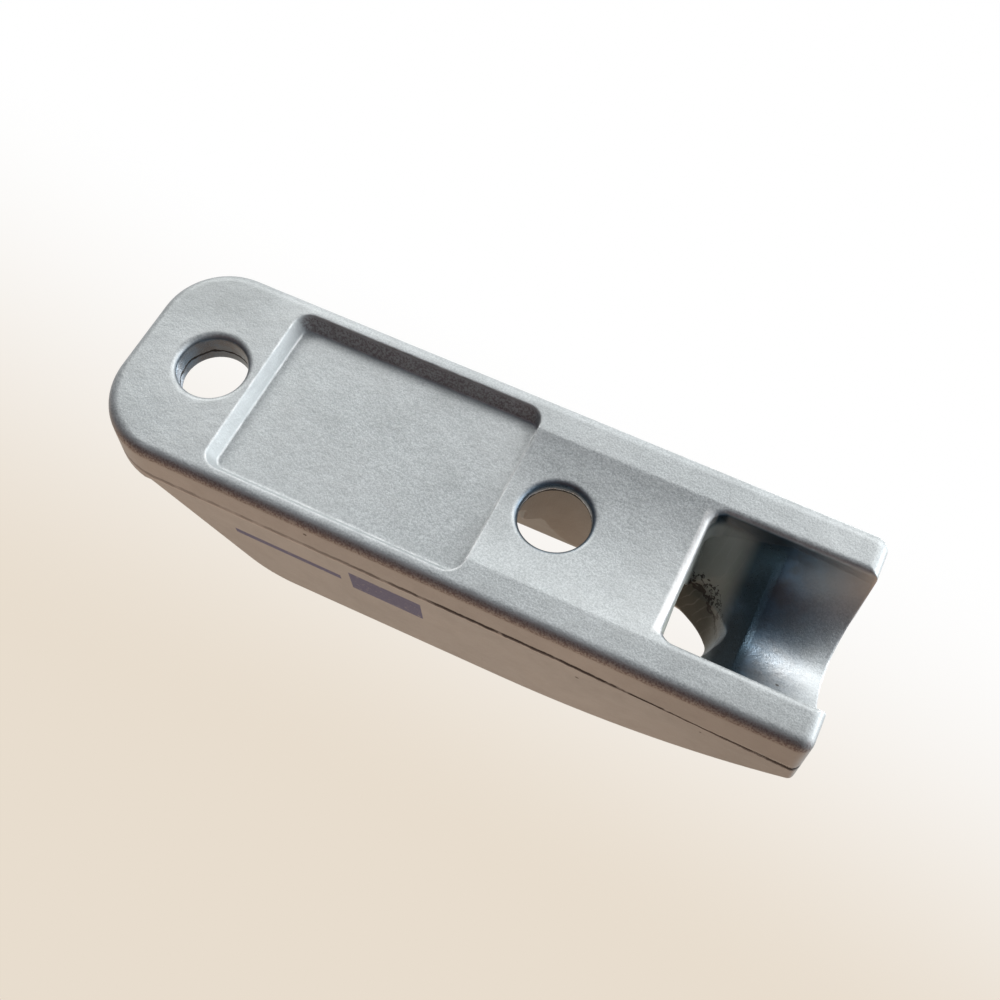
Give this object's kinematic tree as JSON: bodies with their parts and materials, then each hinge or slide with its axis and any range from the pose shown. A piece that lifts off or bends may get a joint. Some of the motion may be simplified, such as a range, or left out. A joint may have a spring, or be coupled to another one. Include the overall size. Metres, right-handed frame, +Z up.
{
  "type": "jam cleat",
  "caption": "Die-cast jam cleat for small rope: toothed cheeks form a V over a flat base, with a screw tab at one end and a closed fairlead at the other.",
  "frame": {"origin": "on the deck plane, midway between the two screw holes", "axes": "+X along the base towards the screw tab, +Y to the left seen from the fairlead, +Z up from the deck towards the jaws"},
  "size_m": [0.0543, 0.0166, 0.0144],
  "materials": {
    "casting": "as-cast, fine grain, satin grey"
  },
  "bodies": {
    "root": {"cleat_body": "casting"}
  },
  "joints": []
}
